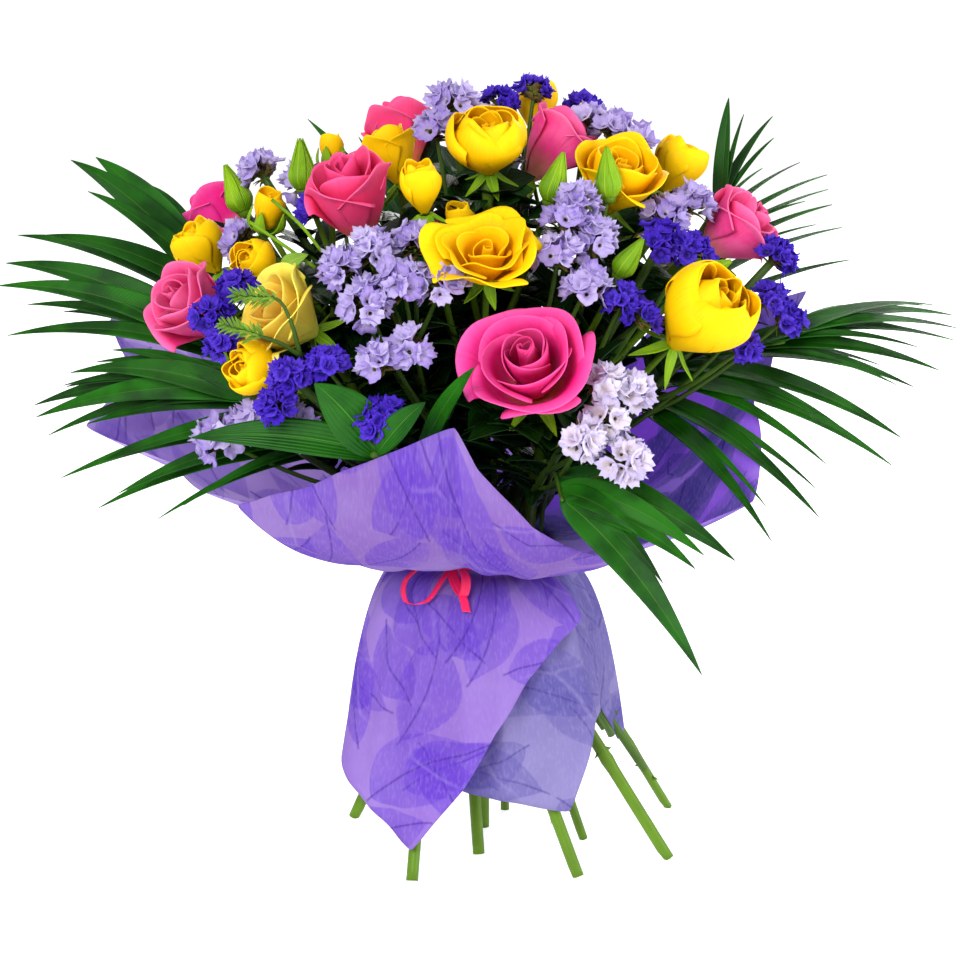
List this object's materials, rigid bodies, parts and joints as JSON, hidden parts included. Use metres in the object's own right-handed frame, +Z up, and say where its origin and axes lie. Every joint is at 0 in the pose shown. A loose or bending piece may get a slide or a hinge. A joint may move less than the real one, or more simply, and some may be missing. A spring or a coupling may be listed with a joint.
{
  "type": "mixed flower bouquet",
  "caption": "Hand-tied bouquet of pink and yellow roses, statice and palm leaves in a paper collar, standing on its splayed stems.",
  "frame": {"origin": "the flat cut end of the upright central stem, on the surface that the bouquet stands on", "axes": "+Z up along the central stem, +X to the right across the widest spread of leaves, -Y towards the viewer of the front"},
  "size_m": [0.4684, 0.3505, 0.3775],
  "materials": {
    "pink_petals": "soft velvety petal, hot pink, paler and salmon on the outer petals",
    "yellow_petals": "soft petal, clear yellow, paler at the rims",
    "green_stem": "fresh green rind, slightly waxy, pale cut ends",
    "lilac_statice": "dry papery calyces, lilac fading to white",
    "violet_statice": "dry papery calyces, deep blue-violet",
    "palm_green": "smooth waxy leaf, deep green",
    "ruscus_green": "thick waxy leaf, deep green with paler veins",
    "violet_paper": "translucent non-woven paper, violet with a darker leaf-skeleton print",
    "blue_violet_paper": "translucent non-woven paper, bluish lilac with a darker leaf-skeleton print",
    "red_ribbon": "narrow glossy woven ribbon, hot red",
    "natural_twine": "twisted natural fibre"
  },
  "bodies": {
    "root": {"pink_rose_1": "pink_petals", "pink_rose_2": "pink_petals", "pink_rose_3": "pink_petals", "pink_rose_4": "pink_petals", "pink_rose_5": "pink_petals", "pink_rose_6": "pink_petals", "pink_rose_7": "pink_petals", "pink_rose_8": "pink_petals", "pink_rose_1_stem": "green_stem", "pink_rose_2_stem": "green_stem", "pink_rose_3_stem": "green_stem", "pink_rose_4_stem": "green_stem", "pink_rose_5_stem": "green_stem", "pink_rose_6_stem": "green_stem", "pink_rose_7_stem": "green_stem", "pink_rose_8_stem": "green_stem", "yellow_spray_rose_1a": "yellow_petals", "yellow_spray_rose_1b": "yellow_petals", "yellow_spray_rose_1c": "yellow_petals", "yellow_spray_rose_2a": "yellow_petals", "yellow_spray_rose_2b": "yellow_petals", "yellow_spray_rose_3a": "yellow_petals", "yellow_spray_rose_3b": "yellow_petals", "yellow_spray_rose_4a": "yellow_petals", "yellow_spray_rose_4b": "yellow_petals", "yellow_spray_rose_4c": "yellow_petals", "yellow_spray_rose_5a": "yellow_petals", "yellow_spray_rose_5b": "yellow_petals", "yellow_spray_rose_5c": "yellow_petals", "yellow_spray_stem_1": "green_stem", "yellow_spray_stem_2": "green_stem", "yellow_spray_stem_3": "green_stem", "yellow_spray_stem_4": "green_stem", "yellow_spray_stem_5": "green_stem", "lilac_statice_1": "lilac_statice", "lilac_statice_2": "lilac_statice", "lilac_statice_3": "lilac_statice", "lilac_statice_4": "lilac_statice", "lilac_statice_5": "lilac_statice", "lilac_statice_6": "lilac_statice", "lilac_statice_7": "lilac_statice", "violet_statice_1": "violet_statice", "violet_statice_2": "violet_statice", "violet_statice_3": "violet_statice", "violet_statice_4": "violet_statice", "violet_statice_5": "violet_statice", "palm_frond_1": "palm_green", "palm_frond_2": "palm_green", "palm_frond_3": "palm_green", "palm_frond_4": "palm_green", "palm_frond_5": "palm_green", "palm_frond_6": "palm_green", "palm_frond_7": "palm_green", "ruscus_sprig_1": "ruscus_green", "ruscus_sprig_2": "ruscus_green", "paper_sheet_1": "violet_paper", "paper_sheet_2": "blue_violet_paper", "paper_sheet_3": "violet_paper", "ribbon": "red_ribbon", "binding_twine": "natural_twine"}
  },
  "joints": []
}
